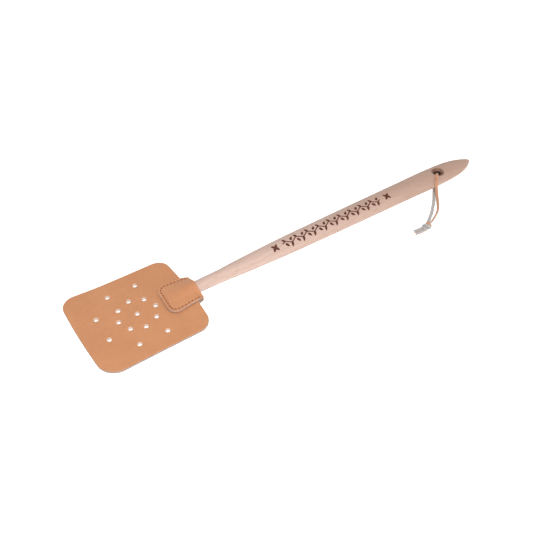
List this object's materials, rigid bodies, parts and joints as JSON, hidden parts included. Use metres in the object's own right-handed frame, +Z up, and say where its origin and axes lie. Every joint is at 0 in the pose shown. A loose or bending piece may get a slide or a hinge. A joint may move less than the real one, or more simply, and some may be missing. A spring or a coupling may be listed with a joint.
{
  "type": "fly swatter",
  "caption": "Leather fly swatter: a near-square perforated leather blade sewn between two patches on a carved wooden handle with a pointed end and a knotted hanging lace.",
  "frame": {"origin": "middle of the object's footprint, on the surface it lies on, measured without the lace", "axes": "+X along the handle's axis from the blade to the handle's tip, +Z up from the table; the object is symmetric about the XZ plane apart from its lace"},
  "size_m": [0.45, 0.1028, 0.0155],
  "materials": {
    "handle_wood": "fine-sanded light beech, lightly waxed",
    "blade_leather": "smooth natural tan leather, satin",
    "patch_leather": "smooth natural tan leather, satin",
    "seam_thread": "waxed dark brown thread",
    "lace_leather": "flat leather lace, smooth grain side and grey suede flesh side"
  },
  "bodies": {
    "handle": {"handle": "handle_wood", "blade_root": "blade_leather", "top_patch": "patch_leather", "bottom_patch": "patch_leather", "needle_thread": "seam_thread", "bobbin_thread": "seam_thread"},
    "blade": {"blade_flap": "blade_leather"},
    "lace": {"lace_upper": "lace_leather", "lace_lower": "lace_leather", "lace_knot": "lace_leather", "lace_tail_back": "lace_leather", "lace_tail_front": "lace_leather"}
  },
  "joints": [
    {"name": "blade_flex", "type": "hinge", "parent": "handle", "child": "blade", "pos_m": [-0.1472, 0, 0.0076], "axis": [0, 1, 0], "range_deg": [-30, 30], "stiffness_Nm_per_rad": 0.36},
    {"name": "lace_swing", "type": "hinge", "parent": "handle", "child": "lace", "pos_m": [0.179, 0, 0.0076], "axis": [0, 0, 1], "range_deg": [0, 90]}
  ]
}
